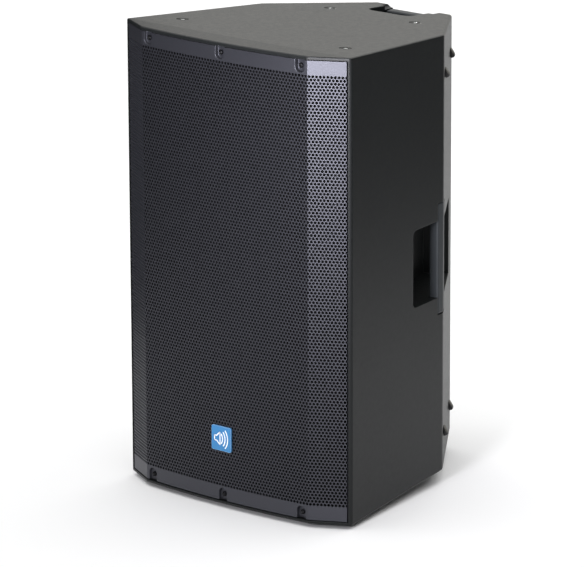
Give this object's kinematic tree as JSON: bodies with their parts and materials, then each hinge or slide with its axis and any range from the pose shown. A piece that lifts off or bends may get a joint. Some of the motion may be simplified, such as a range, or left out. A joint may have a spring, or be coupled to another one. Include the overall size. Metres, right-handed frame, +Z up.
{
  "type": "pa speaker cabinet",
  "caption": "Passive two-way loudspeaker cabinet: drafted black moulded shell with rear chamfers, bowed steel grille, side grips, top handle, pole socket and rigging inserts.",
  "frame": {"origin": "middle of the bounding box's bottom face, on the floor under the cabinet", "axes": "+X to the right as seen from the front, +Y to the rear, +Z up; the grille faces -Y"},
  "size_m": [0.4292, 0.4542, 0.706],
  "materials": {
    "shell_black": "fine moulded texture, semi-matt",
    "grip_black": "semi-matt",
    "grille_black": "semi-matt blue-black powder coat",
    "baffle_black": "matt",
    "foam_black": "open-cell foam",
    "badge_blue": "satin",
    "screw_black": "black plated",
    "rubber": "matt",
    "paper_black": "pressed paper pulp, matt",
    "cast_grey": "painted casting",
    "ferrite": "matt",
    "zinc": "zinc plated",
    "horn_black": "satin",
    "copper": "enamelled wire",
    "board_green": "solder mask",
    "cloth_amber": "impregnated cloth",
    "ceramic_white": "matt",
    "film_yellow": "film wrap",
    "wadding_grey": "polyester wadding",
    "cable_black": "matt"
  },
  "bodies": {
    "cabinet": {"cabinet_shell": "shell_black", "side_grip_right": "grip_black", "side_grip_left": "grip_black", "top_handle": "grip_black", "grille": "grille_black", "front_baffle": "baffle_black", "internal_brace": "baffle_black", "grille_foam": "foam_black", "badge": "badge_blue", "grille_screw_1": "screw_black", "grille_screw_2": "screw_black", "grille_screw_3": "screw_black", "grille_screw_4": "screw_black", "grille_screw_5": "screw_black", "grille_screw_6": "screw_black", "connection_panel": "screw_black", "input_socket": "screw_black", "link_socket": "screw_black", "mode_switch_body": "screw_black", "woofer_gasket": "rubber", "woofer_surround": "rubber", "base_foot_1": "rubber", "base_foot_2": "rubber", "base_foot_3": "rubber", "base_foot_4": "rubber", "wedge_foot_1": "rubber", "wedge_foot_2": "rubber", "wedge_foot_3": "rubber", "wedge_foot_4": "rubber", "wedge_foot_5": "rubber", "wedge_foot_6": "rubber", "wedge_foot_7": "rubber", "wedge_foot_8": "rubber", "woofer_basket": "cast_grey", "driver_phase_plug": "cast_grey", "pole_socket": "cast_grey", "woofer_magnet": "ferrite", "driver_body": "ferrite", "woofer_top_plate": "zinc", "woofer_back_plate": "zinc", "fly_insert_1": "zinc", "fly_insert_2": "zinc", "fly_insert_3": "zinc", "fly_insert_4": "zinc", "horn_flare": "horn_black", "driver_rear_cover": "horn_black", "inductor_woofer": "copper", "inductor_tweeter": "copper", "crossover_board": "board_green", "woofer_spider": "cloth_amber", "filter_resistor": "ceramic_white", "filter_capacitor": "film_yellow", "damping_pad": "wadding_grey", "woofer_lead": "cable_black", "driver_lead": "cable_black"},
    "woofer_moving": {"woofer_cone": "paper_black", "woofer_dust_cap": "paper_black", "woofer_voice_coil": "copper"},
    "driver_moving": {"driver_diaphragm": "zinc"},
    "switch_lever": {"mode_switch_lever": "ceramic_white"}
  },
  "joints": [
    {"name": "woofer_cone_slide", "type": "slide", "parent": "cabinet", "child": "woofer_moving", "axis": [0, -1, 0], "range_m": [-0.006, 0.006], "stiffness_N_per_m": 4000},
    {"name": "driver_diaphragm_slide", "type": "slide", "parent": "cabinet", "child": "driver_moving", "axis": [0, 1, 0], "range_m": [-0.0004, 0.0004], "stiffness_N_per_m": 2000},
    {"name": "mode_switch_slide", "type": "slide", "parent": "cabinet", "child": "switch_lever", "axis": [0, 0, 1], "range_m": [0, 0.004]}
  ]
}
